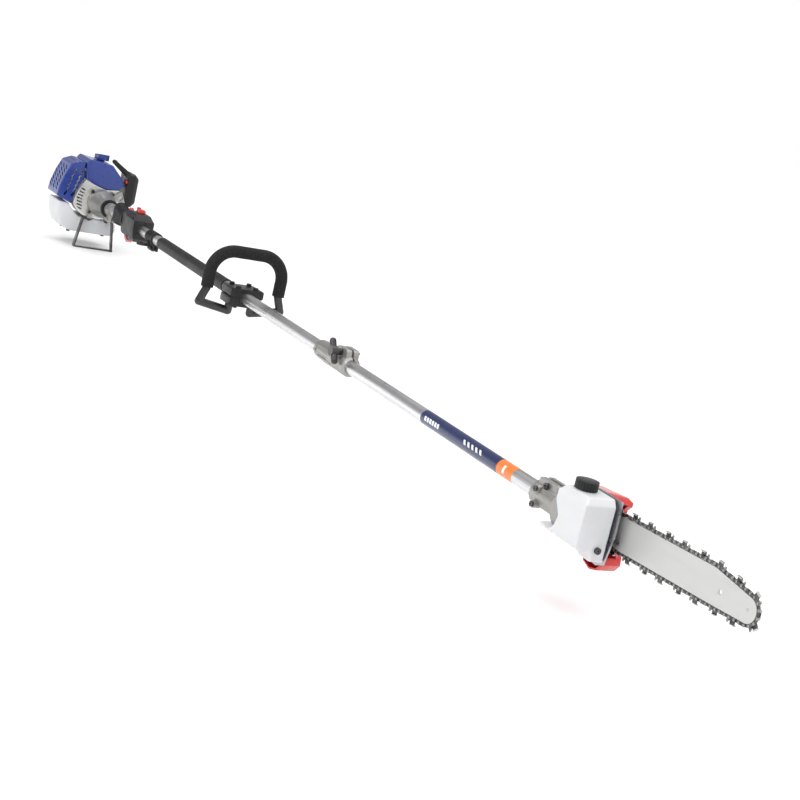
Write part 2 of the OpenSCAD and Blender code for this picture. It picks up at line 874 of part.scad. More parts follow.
module loop_rod() {
    r = rod_d / 2;
    w = loop_half_w;
    c = loop_corner;
    foot = [26, loop_foot_z];
    elbow = [w + 12, -24];
    shoulder = [w, foam_end_z - 2];
    color("black") for (s = [0, 1]) mirror([0, s, 0]) {
        rod([26, -6], foot, r);
        knuckle(foot, r);
        rod(foot, elbow, r);
        knuckle(elbow, r);
        rod(elbow, shoulder, r);
        knuckle(shoulder, r);
        rod(shoulder, [w, loop_top - c], r);
        bend([w - c, loop_top - c], c, r, 0);
        rod([w - c, loop_top], [0, loop_top], r);
    }
}

module loop_foam() {
    r = foam_d / 2;
    w = loop_half_w;
    c = loop_corner;
    bore = rod_d / 2 + eps;
    color("black") difference() {
        for (s = [0, 1]) mirror([0, s, 0]) {
            translate([loop_x, w, foam_end_z]) cylinder(r = r, h = loop_top - c - foam_end_z);
            bend([w - c, loop_top - c], c, r, 0);
            bar_along_y(r, loop_x, loop_top, 0, w - c);
        }
        for (s = [0, 1]) mirror([0, s, 0]) {
            translate([loop_x, w, foam_end_z - 1]) cylinder(r = bore, h = loop_top - c - foam_end_z + 1);
            bend([w - c, loop_top - c], c, bore, 0);
            bar_along_y(bore, loop_x, loop_top, -1, w - c);
        }
    }
}

module loop_clamp_half(z0, z1) {
    difference() {
        across_x(loop_x - 28, loop_x + 28) round_rect([-38, z0], [38, z1], 5);
        bar_x(tube_r + 0.1, loop_x - 30, loop_x + 30);
        for (y = [-26, 26]) translate([loop_x, y, -60]) cylinder(r = rod_d / 2 + eps, h = 55);
        for (x = clamp_bolt_x, y = [-20, 20]) translate([loop_x + x * 0.72, y, -60]) cylinder(r = 2.5 + eps, h = 120);
    }
}

module loop_clamp() {
    color("black") {
        loop_clamp_half(-20, -0.3);
        loop_clamp_half(0.3, 20);
    }
    color("dimgray") for (x = clamp_bolt_x, y = [-20, 20]) translate([loop_x + x * 0.72, y, 0]) {
        translate([0, 0, -22]) cylinder(r = 2.5, h = 44);
        translate([0, 0, 20.1]) cylinder(r = 5.5, h = 5);
        translate([0, 0, -24]) cylinder(r = 4.6, h = 3.9, $fn = 6);
    }
}

module coupler() {
    x0 = coupler_x;
    x1 = coupler_x + coupler_len;
    bx = coupler_bolt[0];
    bz = coupler_bolt[1];
    color("silver") difference() {
        union() {
            bar_x(17.5, x0, x0 + 14);
            bar_x(19, x0 + 14, x0 + 64);
            bar_x(20, x0 + 64, x1 - 8);
            translate([x1 - 8, 0, 0]) rotate([0, 90, 0]) cylinder(r1 = 20, r2 = 16.5, h = 8);
            // ears of the clamp
            for (y = [-13, 2]) across_y(y, y + 11) round_rect([bx - 22, 4], [bx + 22, bz + 9], 7);
            // ribs along the sleeve
            for (a = [60, 120, 180, 240, 300]) rotate([a, 0, 0]) block([x0 + 20, -2, 17], [x0 + 80, 2, 21]);
        }
        bar_x(tube_r + run, x0 - 1, x1 + 1);
        block([x0 + 60, -2, 6], [x1 + 1, 2, bz + 20]);
        bar_along_y(3 + run, bx, bz, -20, 20);
        translate([x0 + 8, 0, 0]) bar_along_y(2 + eps, 0, 0, -30, -10);
    }
    // stop screw and the threaded bolt's nut on the far side
    color("dimgray") {
        screw_y(2, 4, 3, x0 + 8, 0, -20.6, -tube_r - 0.1);
        ring_along_y_hex(bx, bz, 13.1, 18);
    }
}

// Hexagonal nut on an axis along Y
module ring_along_y_hex(x, z, y0, y1) {
    difference() {
        translate([x, y0, z]) rotate([-90, 0, 0]) cylinder(r = 5.8, h = y1 - y0, $fn = 6);
        bar_along_y(3 + run, x, z, y0 - 1, y1 + 1);
    }
}

module coupler_knob() {
    bx = coupler_bolt[0];
    bz = coupler_bolt[1];
    color("dimgray") bar_along_y(3, bx, bz, -30, 24);
    color("black") {
        bar_along_y(6.5, bx, bz, -24, -13.3);
        translate([bx, -30, bz]) rotate([0, -35, 0]) {
            bar_along_y(10, 0, 0, -7, 6.1);
            translate([0, 0, -20]) cylinder(r = 6.5, h = 40);
            for (z = [-20, 20]) translate([0, 0, z]) sphere(6.5);
        }
    }
}

module lower_tube() {
    color("lightgray") ring_x(tube_r, tube_in, joint_x + 1, shaft_len);
    // bushes of the lower drive shaft
    color("dimgray") for (x = [1700:210:2340]) ring_x(tube_in - eps, drive_r + run, x, x + 30);
}

// ---------- saw head ----------

// Conical bevel gear along Z, teeth facing +Z; base radius r at z = 0
module bevel(r, h, teeth, bore) {
    difference() {
        union() {
            cylinder(r1 = r, r2 = r - h, h = h);
            for (i = [0:teeth - 1]) rotate([0, 0, i * 360 / teeth]) translate([r - 0.4, 0, 0])
                rotate([0, -45, 0]) translate([-0.8, -0.7, 0]) cube([1.5, 1.4, h * 1.3]);
        }
        translate([0, 0, -4]) cylinder(r = bore, h = h + 8);
        translate([0, 0, -4]) cylinder(r = r + 4, h = 4);
    }
}

module lower_drive_shaft() {
    color("silver") {
        bar_x(drive_r, joint_x + 17, sprocket_x - 24);
        across_x(joint_x - 2, joint_x + 17.1) square(6.8, center = true);
        // bevel pinion
        translate([sprocket_x - 16, 0, 0]) rotate([0, 90, 0]) bevel(8.2, 6, pinion_teeth, 2);
        bar_x(6, sprocket_x - 24.1, sprocket_x - 15.9);
        bar_x(2.2, sprocket_x - 17, sprocket_x - 9);
    }
}

module sprocket_shaft() {
    x = sprocket_x;
    color("silver") {
        bar_along_y(5, x, 0, -19, 30);
        // bevel gear on the near side, teeth facing the pinion
        translate([x, -15.5, 0]) rotate([-90, 0, 0]) bevel(12.6, 5, gear_teeth, 2);
        bar_along_y(12.6, x, 0, -18, -15.4);
    }
}

module gear_case() {
    x = sprocket_x;
    color("silver") difference() {
        union() {
            bar_x(20, 2332, 2392);
            translate([2392, 0, 0]) rotate([0, 90, 0]) cylinder(r1 = 20, r2 = 17, h = 16);
            bar_along_y(22, x, 0, -24, plate_y - 0.1);
            // clamp ears with the wing bolt
            for (y = [-11, 3]) across_y(y, y + 8) round_rect([2338, 6], [2388, 27], 5);
            for (z = [-13, 11]) bar_along_y(6, 2352, z, -23, -10);
        }
        // clamp bore for the tube
        bar_x(tube_r + eps, 2331, 2386);
        bar_x(9, 2380, x);
        block([2331, -3, 8], [2389, 3, 30]);
        bar_along_y(2.5 + eps, 2362, 19, -12, 12);
        // spot face for the clamp bolt's head
        bar_along_y(5.2, 2362, 19, -17, -11.4);
        // flat side for the mounting plate and the sprocket cover
        block([2387.4, plate_y - 0.1, -30], [2410, 30, 30]);
        for (z = [-13, 11]) bar_along_y(2 + eps, 2352, z, -25, -15);
        // gear room
        bar_along_y(17, x, 0, -19.5, 3);
        bar_along_y(5 + run, x, 0, -20, 12);
    }
}

bar_studs = [38, 62];

// Moves a piece into the guide bar's frame: x = 0 is the sprocket, x runs to the nose, z across the bar
module on_bar() {
    translate([sprocket_x, bar_y, 0]) rotate([0, -bar_tilt, 0]) children();
}

module head_screws() {
    color("dimgray") {
        // gear case clamp bolt and screws
        screw_y(2.5, 4.8, 4, 2362, 19, -15.5, 11);
        for (z = [-13, 11]) screw_y(2, 4.5, 3, 2352, z, -26.2, -16);
        // bar studs with their nuts
        on_bar() for (x = bar_studs) {
            bar_along_y(3.9, x, 0, plate_y + 0.1 - bar_y, 26);
            translate([x, 21.1, 0]) rotate([-90, 0, 0]) cylinder(r = 7.2, h = 7, $fn = 6);
        }
    }
    // brass plug low on the oil tank's front, and the chain's tension screw beside the bar
    color("goldenrod") screw_x(2, 5, 4, 2502, 2512.2, -8, -24);
    color("dimgray") screw_x(2, 4, 3, 2476, 2514, 18, -9);
}

module mounting_plate() {
    color("slategray") difference() {
        union() {
            across_y(plate_y, plate_y + plate_t) polygon([[2398, -30], [2398, 30], [2440, 50], [2512, 50],
                [2514, 0], [2506, -46], [2490, -52], [2430, -46]]);
            // pad that the guide bar is clamped against
            on_bar() across_y(plate_y + plate_t - bar_y - 0.1, -bar_t / 2 - 0.1)
                round_rect([30, -13], [70, 13], 5);
        }
        translate([0, 18, -9]) bar_x(2 + eps, 2470, 2500);
        bar_along_y(5 + run, sprocket_x, 0, plate_y - 1, plate_y + plate_t + 1);
        on_bar() for (x = bar_studs) bar_along_y(3.9 + eps, x, 0, -30, 0);
    }
}

oil_front = [[-46, -20], [-46, 40], [-38, 50], [7, 50], [7, -42], [-16, -42], [-20, -28], [-38, -28]];
oil_side = [[2404, -6], [2408, -24], [2440, -29], [2472, -30], [2480, -43], [2508, -43], [2508, 40],
    [2500, 51], [2446, 51], [2436, 40], [2436, 24], [2450, 4], [2444, -14], [2430, -25]];

module oil_tank_body(inset) {
    intersection() {
        across_x(2400, 2508) offset(delta = -inset) polygon(oil_front);
        across_y(-46, 9) offset(delta = -inset) polygon(oil_side);
    }
}

module oil_tank() {
    color("white") difference() {
        union() {
            oil_tank_body(0);
            translate([2466, -22, 48]) cylinder(r = 13, h = 8);
        }
        difference() {
            oil_tank_body(wall);
            bar_along_y(22.6 + wall, sprocket_x, 0, -60, 20);
            bar_x(20.6 + wall, 2390, 2414);
        }
        translate([2466, -22, 44]) cylinder(r = 10, h = 20);
        // notch around the gear case
        bar_along_y(22.6, sprocket_x, 0, -60, 20);
        bar_x(20.6, 2390, 2412);
        translate([0, -8, -24]) bar_x(2 + eps, 2500, 2510);
    }
}

module oil_cap() {
    color("black") translate([2466, -22, 51.4]) difference() {
        cylinder(r = 17, h = 13);
        translate([0, 0, -1]) cylinder(r = 13 + gap, h = 7);
        for (a = [0:15:345]) rotate([0, 0, a]) translate([17.5, 0, -1]) cylinder(r = 1.2, h = 12.5);
    }
}

cover_side = [[2392, -26], [2388, 6], [2398, 34], [2412, 42], [2478, 47], [2492, 44], [2492, 38], [2484, 30],
    [2484, -26], [2498, -36], [2500, -48], [2490, -60], [2474, -64], [2456, -58], [2448, -44], [2420, -40]];

module sprocket_cover() {
    color("red") difference() {
        union() {
            difference() {
                across_y(plate_y + plate_t + 0.2, 46) polygon(cover_side);
                across_y(plate_y, 43) offset(delta = -wall) polygon(cover_side);
                // the chain leaves through the front
                block([2470, plate_y, -38], [2520, 36, 40]);
            }
            // bosses that press on the bar
            on_bar() for (x = bar_studs) bar_along_y(8, x, 0, bar_t / 2 + 0.1, 19);
        }
        on_bar() for (x = bar_studs) bar_along_y(4.2, x, 0, 0, 24);
    }
}

// ---------- guide bar and chain ----------

nose_x = 367.4;     // centre of the nose sprocket, from the drive sprocket
nose_z = -6;        // the nose hangs a little below the bar's middle line
nose_r = 17;
strap_lift = 3.4;   // height of the rivets above the bar's rails
// The bar's outline is the hull of these circles: [x, z, radius]
bar_circles = [[46, 0, 19], [92, 0, bar_half_h], [292, 0, bar_half_h], [nose_x, nose_z, nose_r]];

// The chain's rivets run clockwise round these circles, closed
rail = bar_half_h + strap_lift;
belt = [[0, 0, sprocket_r], [92, 0, rail], [292, 0, rail], [nose_x, nose_z, nose_r + strap_lift],
    [292, 0, rail], [92, 0, rail]];
corners = len(belt);
function centre(i) = [belt[i % corners][0], belt[i % corners][1]];
function radius(i) = belt[i % corners][2];
function heading(i) = let (d = centre(i + 1) - centre(i)) atan2(d[1], d[0]);
function spacing(i) = norm(centre(i + 1) - centre(i));
// Direction, in degrees, of the outward normal of the tangent from circle i to the next
function normal(i) = heading(i) + acos((radius(i) - radius(i + 1)) / spacing(i));
function around(a) = a < 0 ? around(a + 360) : a >= 360 ? around(a - 360) : a;
function arc_sweep(i) = around(normal(i + corners - 1) - normal(i));
function arc_len(i) = radius(i) * arc_sweep(i) * PI / 180;
function line_len(i) = sqrt(pow(spacing(i), 2) - pow(radius(i) - radius(i + 1), 2));
function on_circle(i, a) = centre(i) + radius(i) * [cos(a), sin(a)];
function belt_len(i = 0) = i == corners ? 0 : arc_len(i) + line_len(i) + belt_len(i + 1);
step = belt_len() / (2 * links);    // rivet spacing that closes the chain

// Point at distance s along the belt, starting where the belt meets circle i
function belt_point(s, i = 0) =
    s < arc_len(i) ? on_circle(i, normal(i + corners - 1) - arc_sweep(i) * s / arc_len(i)) :
    s < arc_len(i) + line_len(i) ?
        let (t = (s - arc_len(i)) / line_len(i))
        on_circle(i, normal(i)) * (1 - t) + on_circle(i + 1, normal(i)) * t :
    belt_point(s - arc_len(i) - line_len(i), i + 1);
rivets = [for (i = [0:2 * links - 1]) belt_point((i + 0.25) * step)];

module bar_outline() {
    hull() for (c = bar_circles) translate([c[0], c[1]]) circle(c[2], $fn = 96);
}

module guide_bar() {
    h = bar_t / 2;
    color("gray") on_bar() difference() {
        across_y(-h, h) bar_outline();
        // chain groove around the edge
        across_y(-0.75, 0.75) difference() {
            translate([0, -60]) square([420, 120]);
            hull() for (c = bar_circles) translate([c[0], c[1]]) circle(c[2] - 7, $fn = 96);
        }
        // adjusting slot
        across_y(-h - 1, h + 1) round_rect([30, -4.1], [72, 4.1], 4);
        for (z = [-14, 14]) bar_along_y(3, 56, z, -h - 1, h + 1);
        // hanging hole
        bar_along_y(3.5, 312, -3, -h - 1, h + 1);
        // room for the nose sprocket
        across_y(-0.75, 0.75) translate([nose_x, nose_z]) circle(nose_r + 2);
        bar_along_y(2.6, nose_x, nose_z, -h - 1, h + 1);
    }
}

module nose_sprocket() {
    color("silver") on_bar() {
        difference() {
            across_y(-0.6, 0.6) translate([nose_x, nose_z]) difference() {
                circle(nose_r - 4.4);
                for (i = [0:9]) rotate(i * 36) translate([nose_r - 3.6, 0]) circle(2.2);
            }
            bar_along_y(2.4, nose_x, nose_z, -5, 5);
        }
        bar_along_y(2.5, nose_x, nose_z, -bar_t / 2 - 0.2, bar_t / 2 + 0.2);
    }
}

module sprocket() {
    color("darkgray") translate([sprocket_x, bar_y, 0]) difference() {
        union() {
            rotate([-90, 0, 0]) translate([0, 0, -8]) cylinder(r = 10.5, h = 16);
            for (y = [-4.6, 1.6]) rotate([-90, 0, 0]) translate([0, 0, y]) cylinder(r = 14.2, h = 3);
            for (i = [0:5]) rotate([0, i * 60 + 15, 0]) translate([9, -2, -1.5]) cube([2.2, 4, 3]);
        }
        rotate([-90, 0, 0]) translate([0, 0, -9]) cylinder(r = 5 + eps, h = 18);
    }
}

link_r = 2.4;       // radius of the links' round ends

// Outline of a link between two rivets: two round ends and a straight web
module link_plate(a, b, r) {
    d = b - a;
    translate(a) circle(r, $fn = 24);
    translate(b) circle(r, $fn = 24);
    translate(a) rotate(atan2(d[1], d[0])) translate([0, -0.8 * r]) square([norm(d), 1.6 * r]);
}

// Side link on one side of the chain: 1 for +Y, -1 for -Y
module side_link(a, b, side) {
    across_y(side > 0 ? 0.66 : -1.9, side > 0 ? 1.9 : -0.66) link_plate(a, b, link_r);
}

// Drive link: the plate with its tang pointing into the groove
module drive_link(a, b) {
    d = b - a;
    across_y(-0.62, 0.62) {
        link_plate(a, b, link_r);
        translate(a) rotate(atan2(d[1], d[0]))
            polygon([[0, 0], [norm(d), 0], [norm(d) - 1, -4], [norm(d) / 2, -6.2], [1, -4]]);
    }
}

// Cutter: side plate with a depth gauge and a top plate that leans over to one side
module cutter(a, b, side) {
    d = b - a;
    n = norm(d);
    y0 = side > 0 ? 0.66 : -1.9;
    across_y(y0, y0 + 1.24) {
        link_plate(a, b, link_r);
        translate(a) rotate(atan2(d[1], d[0]))
            polygon([[-3, 0], [n + 3, 0], [n + 4, 6], [n + 1, 7], [n - 1, 3], [n - 3, 3], [n - 4, 8], [-3, 7]]);
    }
    translate([a[0], 0, a[1]]) rotate([0, -atan2(d[1], d[0]), 0])
        block([-3.4, side > 0 ? -1.6 : -2, 6.7], [n - 4.5, side > 0 ? 2 : 1.6, 8.2]);
}

module saw_chain() {
    count = 2 * links;
    color("dimgray") on_bar() for (i = [0:count - 1]) {
        a = rivets[i];
        b = rivets[(i + 1) % count];
        if (i % 2 == 0) drive_link(a, b);
        // every second pair of side links carries a cutter, on the two sides in turn
        else if (i % 4 == 1 && i < count - 1) {
            side = i % 8 == 1 ? 1 : -1;
            cutter(a, b, side);
            side_link(a, b, -side);
        } else for (side = [-1, 1]) side_link(a, b, side);
        bar_along_y(1.6, a[0], a[1], -2.2, 2.2);
    }
}

// ---------- output ----------

on_shaft() fan_case();
on_shaft() clutch_housing();
on_shaft() crankcase();
on_shaft() main_bearings();
on_shaft() crankshaft();
on_shaft() connecting_rod();
on_shaft() piston();
on_shaft() engine_cylinder();
on_shaft() muffler();
on_shaft() muffler_guard();
on_shaft() cylinder_shroud();
on_shaft() spark_plug();
on_shaft() plug_cap();
on_shaft() ignition_coil();
on_shaft() flywheel();
on_shaft() clutch_shoes();
on_shaft() clutch_drum();
on_shaft() recoil_cover();
on_shaft() starter_pulley();
on_shaft() starter_handle();
on_shaft() carburettor();
on_shaft() air_cleaner_base();
on_shaft() air_filter();
on_shaft() air_cleaner_cover();
on_shaft() choke_lever();
on_shaft() primer_bulb();
on_shaft() fuel_tank();
on_shaft() tank_feet();
on_shaft() fuel_cap();
on_shaft() stand();
on_shaft() engine_bolts();
on_shaft() shaft_clamp();
on_shaft() rubber_mounts();
on_shaft() throttle_housing();
on_shaft() trigger();
on_shaft() lock_lever();
on_shaft() stop_switch();
on_shaft() harness_clamp();
on_shaft() upper_tube();
on_shaft() shaft_bushes();
on_shaft() upper_drive_shaft();
on_shaft() rubber_grip();
on_shaft() loop_rod();
on_shaft() loop_foam();
on_shaft() loop_clamp();
on_shaft() coupler();
on_shaft() coupler_knob();
on_shaft() lower_tube();
on_shaft() lower_drive_shaft();
on_shaft() gear_case();
on_shaft() head_screws();
on_shaft() sprocket_shaft();
on_shaft() sprocket();
on_shaft() mounting_plate();
on_shaft() oil_tank();
on_shaft() oil_cap();
on_shaft() sprocket_cover();
on_shaft() guide_bar();
on_shaft() nose_sprocket();
on_shaft() saw_chain();
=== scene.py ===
"""Looks of the petrol pole saw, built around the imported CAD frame. Metres, in the row frame."""

import json
import math
import random

import bmesh
import bpy
from mathutils import Matrix, Vector

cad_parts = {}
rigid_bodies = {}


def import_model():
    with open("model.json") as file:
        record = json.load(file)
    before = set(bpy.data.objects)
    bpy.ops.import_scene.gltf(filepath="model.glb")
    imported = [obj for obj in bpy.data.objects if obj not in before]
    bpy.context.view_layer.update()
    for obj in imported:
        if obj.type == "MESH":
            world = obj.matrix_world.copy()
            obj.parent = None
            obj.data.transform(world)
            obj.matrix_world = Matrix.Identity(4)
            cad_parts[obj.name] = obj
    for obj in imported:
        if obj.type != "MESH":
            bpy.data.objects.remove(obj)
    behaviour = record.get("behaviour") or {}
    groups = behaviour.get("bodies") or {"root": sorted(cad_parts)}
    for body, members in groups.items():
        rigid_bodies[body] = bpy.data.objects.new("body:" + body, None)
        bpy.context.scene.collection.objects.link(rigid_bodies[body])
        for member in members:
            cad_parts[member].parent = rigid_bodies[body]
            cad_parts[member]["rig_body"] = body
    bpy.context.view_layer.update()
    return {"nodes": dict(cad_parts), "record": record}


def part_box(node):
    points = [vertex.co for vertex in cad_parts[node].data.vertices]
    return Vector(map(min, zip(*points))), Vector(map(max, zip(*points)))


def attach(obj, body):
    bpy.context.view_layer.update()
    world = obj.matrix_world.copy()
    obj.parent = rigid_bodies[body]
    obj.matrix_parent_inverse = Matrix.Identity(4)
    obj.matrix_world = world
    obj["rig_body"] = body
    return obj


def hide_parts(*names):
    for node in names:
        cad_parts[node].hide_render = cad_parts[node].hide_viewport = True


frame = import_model()
NODES = frame["nodes"]
MM = 0.001


# ---------- camera, light and floor ----------

CAMERA_PLACE = (4.18212, -1.31563, 0.69247)
CAMERA_AZIMUTH = 29.79      # degrees between the view direction and -X, towards +Y
CAMERA_ELEVATION = 12.0     # degrees that the camera looks down
CAMERA_ROLL = 13.35         # degrees that the camera is turned about its own axis
CAMERA_LENS = 69.75


def add_camera():
    azimuth, elevation, roll = map(math.radians, (CAMERA_AZIMUTH, CAMERA_ELEVATION, CAMERA_ROLL))
    ahead = Vector((-math.cos(azimuth), math.sin(azimuth), 0))
    up = Vector((0, 0, 1))
    forward = math.cos(elevation) * ahead - math.sin(elevation) * up
    level_right = forward.cross(up).normalized()
    level_up = level_right.cross(forward)
    right = math.cos(roll) * level_right + math.sin(roll) * level_up
    top = -math.sin(roll) * level_right + math.cos(roll) * level_up
    data = bpy.data.cameras.new("camera")
    data.lens = CAMERA_LENS
    data.sensor_width = 36
    data.clip_end = 200
    camera = bpy.data.objects.new("camera", data)
    bpy.context.scene.collection.objects.link(camera)
    camera.matrix_world = Matrix((
        (right.x, top.x, -forward.x, CAMERA_PLACE[0]),
        (right.y, top.y, -forward.y, CAMERA_PLACE[1]),
        (right.z, top.z, -forward.z, CAMERA_PLACE[2]),
        (0, 0, 0, 1)))
    bpy.context.scene.camera = camera


def add_area_light(name, place, aim, size, power):
    data = bpy.data.lights.new(name, "AREA")
    data.shape = "RECTANGLE"
    data.size, data.size_y = size
    data.energy = power
    light = bpy.data.objects.new(name, data)
    light.location = place
    light.rotation_euler = (Vector(aim) - Vector(place)).to_track_quat("-Z", "Y").to_euler()
    bpy.context.scene.collection.objects.link(light)


def add_lights():
    add_area_light("key", (2.6, -2.8, 2.6), (1.2, 0, 0.1), (3.4, 1.0), 34)
    add_area_light("engine_window", (1.5, -1.1, 0.9), (0.0, 0, 0.17), (0.5, 0.7), 5)
    add_area_light("head_window", (3.3, -1.4, 1.3), (2.5, 0, 0.13), (0.6, 0.5), 4)
    add_area_light("fill", (4.2, 1.8, 1.6), (1.6, 0, 0.1), (1.6, 1.0), 9)
    bpy.context.scene.view_settings.view_transform = "Standard"
    bpy.context.scene.world = studio_world()


def studio_world():
    """Soft white room: white at the horizon, a grey band above it and a bright ceiling."""
    world = bpy.data.worlds.new("world")
    world.use_nodes = True
    nodes, links = world.node_tree.nodes, world.node_tree.links
    coordinates = nodes.new("ShaderNodeTexCoord")
    split = nodes.new("ShaderNodeSeparateXYZ")
    links.new(coordinates.outputs["Generated"], split.inputs["Vector"])
    bands = nodes.new("ShaderNodeValToRGB")
    bands.color_ramp.interpolation = "EASE"
    levels = [(0.0, 1.0), (0.10, 1.0), (0.22, 0.42), (0.62, 0.34), (0.80, 1.0), (1.0, 1.0)]
    while len(bands.color_ramp.elements) < len(levels):
        bands.color_ramp.elements.new(0.5)
    for element, (place, level) in zip(bands.color_ramp.elements, levels):
        element.position = place
        element.color = (level, level, level, 1)
    links.new(split.outputs["Z"], bands.inputs["Fac"])
    ceiling = nodes.new("ShaderNodeMapRange")
    ceiling.inputs["From Min"].default_value = 0.66
    ceiling.inputs["From Max"].default_value = 0.84
    ceiling.inputs["To Min"].default_value = 1.0
    ceiling.inputs["To Max"].default_value = 2.2
    links.new(split.outputs["Z"], ceiling.inputs["Value"])
    background = nodes["Background"]
    links.new(bands.outputs["Color"], background.inputs["Color"])
    links.new(ceiling.outputs["Result"], background.inputs["Strength"])
    return world


def add_floor():
    half = 60
    mesh = bpy.data.meshes.new("floor")
    corners = [(-half, -half, 0), (half, -half, 0), (half, half, 0), (-half, half, 0)]
    mesh.from_pydata(corners, [], [(0, 1, 2, 3)])
    floor = bpy.data.objects.new("floor", mesh)
    floor.location = (1.4, 0, -0.0005)
    bpy.context.scene.collection.objects.link(floor)
    mesh.materials.append(material("floor_paper", (0.94, 0.94, 0.94), roughness=0.9, vary=0.005))


# ---------- materials ----------

class Tree:
    """Small helper around one material's node tree."""

    def __init__(self, name):
        self.material = bpy.data.materials.new(name)
        self.material.use_nodes = True
        self.nodes = self.material.node_tree.nodes
        self.links = self.material.node_tree.links
        self.shader = self.nodes["Principled BSDF"]

    def set(self, **values):
        for key, value in values.items():
            self.shader.inputs[key.replace("_", " ").title().replace("Ior", "IOR")].default_value = value

    def node(self, kind, **inputs):
        made = self.nodes.new(kind)
        for key, value in inputs.items():
            made.inputs[key].default_value = value
        return made

    def position(self, stretch=(1, 1, 1)):
        """Object coordinates, scaled along each axis."""
        coordinates = self.nodes.new("ShaderNodeTexCoord")
        mapping = self.nodes.new("ShaderNodeMapping")
        mapping.inputs["Scale"].default_value = stretch
        self.links.new(coordinates.outputs["Object"], mapping.inputs["Vector"])
        return mapping.outputs["Vector"]

    def noise(self, scale, detail=4.0, roughness=0.55, stretch=(1, 1, 1)):
        made = self.node("ShaderNodeTexNoise", Scale=scale, Detail=detail, Roughness=roughness)
        self.links.new(self.position(stretch), made.inputs["Vector"])
        return made.outputs["Fac"]

    def cells(self, scale, stretch=(1, 1, 1)):
        made = self.node("ShaderNodeTexVoronoi", Scale=scale)
        self.links.new(self.position(stretch), made.inputs["Vector"])
        return made.outputs["Distance"]

    def ramp(self, source, low, high, start=0.35, end=0.65):
        """Turns a 0 to 1 value into a colour between low and high."""
        made = self.nodes.new("ShaderNodeValToRGB")
        made.color_ramp.elements[0].position = start
        made.color_ramp.elements[1].position = end
        made.color_ramp.elements[0].color = (*low, 1)
        made.color_ramp.elements[1].color = (*high, 1)
        self.links.new(source, made.inputs["Fac"])
        return made.outputs["Color"]

    def remap(self, source, low, high, start=0.3, end=0.7):
        made = self.node("ShaderNodeMapRange")
        made.inputs["From Min"].default_value = start
        made.inputs["From Max"].default_value = end
        made.inputs["To Min"].default_value = low
        made.inputs["To Max"].default_value = high
        self.links.new(source, made.inputs["Value"])
        return made.outputs["Result"]

    def edges(self, low=0.49, high=0.56):
        """1 on outer edges and 0 on flat faces."""
        geometry = self.nodes.new("ShaderNodeNewGeometry")
        return self.remap(geometry.outputs["Pointiness"], 0, 1, low, high)

    def mix(self, factor, first, second):
        """Colour first where factor is 0 and second where it is 1."""
        made = self.nodes.new("ShaderNodeMix")
        made.data_type = "RGBA"
        self.links.new(factor, made.inputs["Factor"])
        for socket, value in ((6, first), (7, second)):
            if isinstance(value, tuple):
                made.inputs[socket].default_value = (*value, 1)
            else:
                self.links.new(value, made.inputs[socket])
        return made.outputs[2]

    def to(self, socket, source):
        self.links.new(source, self.shader.inputs[socket])

    def bump(self, source, depth, strength=1.0):
        """Adds a bump of that depth in metres on top of any bump already there."""
        made = self.node("ShaderNodeBump", Strength=strength, Distance=depth)
        self.links.new(source, made.inputs["Height"])
        before = self.shader.inputs["Normal"].links
        if before:
            self.links.new(before[0].from_socket, made.inputs["Normal"])
        self.links.new(made.outputs["Normal"], self.shader.inputs["Normal"])


def shade(colour, factor):
    return tuple(min(1.0, c * factor) for c in colour)


def material(name, colour, roughness=0.5, metallic=0.0, vary=0.06, grain=None, grain_depth=0.00003,
             rough_vary=0.06, coat=0.0, stretch=(1, 1, 1), wear=None, **extra):
    """A painted, moulded or metal surface: colour and roughness that vary a little, and a fine grain."""
    tree = Tree(name)
    tree.set(metallic=metallic, **extra)
    if coat:
        tree.set(coat_weight=coat, coat_roughness=0.06)
    clouds = tree.noise(14, stretch=stretch)
    base = tree.ramp(clouds, shade(colour, 1 - vary), shade(colour, 1 + vary))
    if wear:
        base = tree.mix(tree.edges(), base, wear)
    tree.to("Base Color", base)
    smears = tree.noise(55, stretch=stretch)
    tree.to("Roughness", tree.remap(smears, roughness - rough_vary, roughness + rough_vary))
    if grain:
        tree.bump(tree.noise(grain, detail=2, stretch=stretch), grain_depth)
    return tree.material


ROYAL_BLUE = (0.006, 0.030, 0.220)
CAST_GREY = (0.30, 0.295, 0.28)
PALE_CAST = (0.54, 0.54, 0.53)
BLACK = (0.007, 0.007, 0.0075)
RED = (0.56, 0.016, 0.014)
MILK = (0.66, 0.67, 0.69)
BAR_GREY = (0.13, 0.132, 0.124)
NAVY = (0.012, 0.022, 0.090)


def tank_material(name, colour):
    """Milky polyethylene that light goes a little way into."""
    made = material(name, colour, roughness=0.34, vary=0.015, grain=900, grain_depth=0.00002,
                    subsurface_weight=0.35, subsurface_scale=0.006)
    return made


def tube_material():
    """Drawn aluminium: fine lines along the shaft, with faint handling marks."""
    tree = Tree("drawn_aluminium")
    tree.set(metallic=1.0, anisotropic=0.35)
    lines = tree.noise(260, detail=3, stretch=(0.02, 1, 1))
    tree.to("Base Color", tree.ramp(lines, (0.60, 0.60, 0.61), (0.74, 0.74, 0.75)))
    marks = tree.noise(7, detail=8, roughness=0.7)
    tree.to("Roughness", tree.remap(marks, 0.22, 0.36))
    tree.bump(lines, 0.00001, 0.6)
    return tree.material


def cast_material(name, colour, roughness=0.42):
    """Sand-blasted die casting, bare metal on its edges."""
    tree = Tree(name)
    tree.set(metallic=0.75)
    speckle = tree.noise(420, detail=3)
    base = tree.ramp(speckle, shade(colour, 0.86), shade(colour, 1.08))
    tree.to("Base Color", tree.mix(tree.edges(), base, shade(colour, 1.3)))
    tree.to("Roughness", tree.remap(tree.noise(60), roughness - 0.07, roughness + 0.09))
    tree.bump(speckle, 0.00008, 0.7)
    tree.bump(tree.noise(90), 0.00012, 0.5)
    return tree.material


